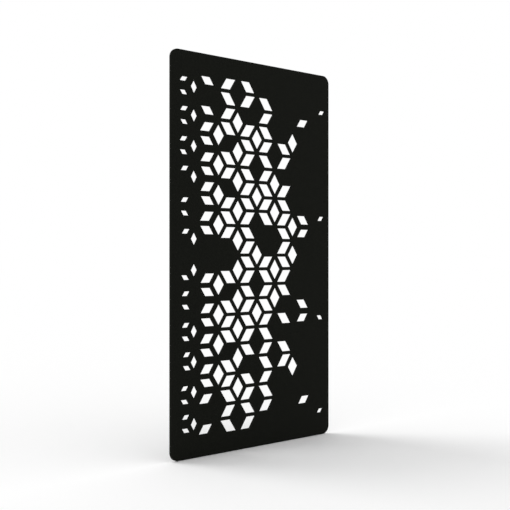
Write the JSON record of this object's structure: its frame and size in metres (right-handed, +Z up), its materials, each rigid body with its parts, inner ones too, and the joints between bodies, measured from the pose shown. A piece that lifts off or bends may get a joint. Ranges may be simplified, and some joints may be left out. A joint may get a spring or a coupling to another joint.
{
  "type": "hanging acoustic screen",
  "caption": "Thin black felt hanging screen with rounded corners, a graded tumbling-block pattern of rhombic cut-outs and hanger threads hidden in its top edge.",
  "frame": {"origin": "middle of the top edge, half way between the two hanger threads", "axes": "+X along the width to the right seen from the front, front face towards -Y, +Z up; the board hangs from z = 0 down"},
  "size_m": [1, 0.012, 1.8],
  "materials": {
    "felt": "pressed polyester felt, matt",
    "film": "hot-melt adhesive film, black",
    "steel": "zinc-plated steel"
  },
  "bodies": {
    "root": {"front_felt_sheet": "felt", "back_felt_sheet": "felt", "bond_film": "film", "stiffener_bar": "steel", "left_hanger_sleeve": "steel", "right_hanger_sleeve": "steel", "left_clevis_pin": "steel", "right_clevis_pin": "steel"}
  },
  "joints": []
}
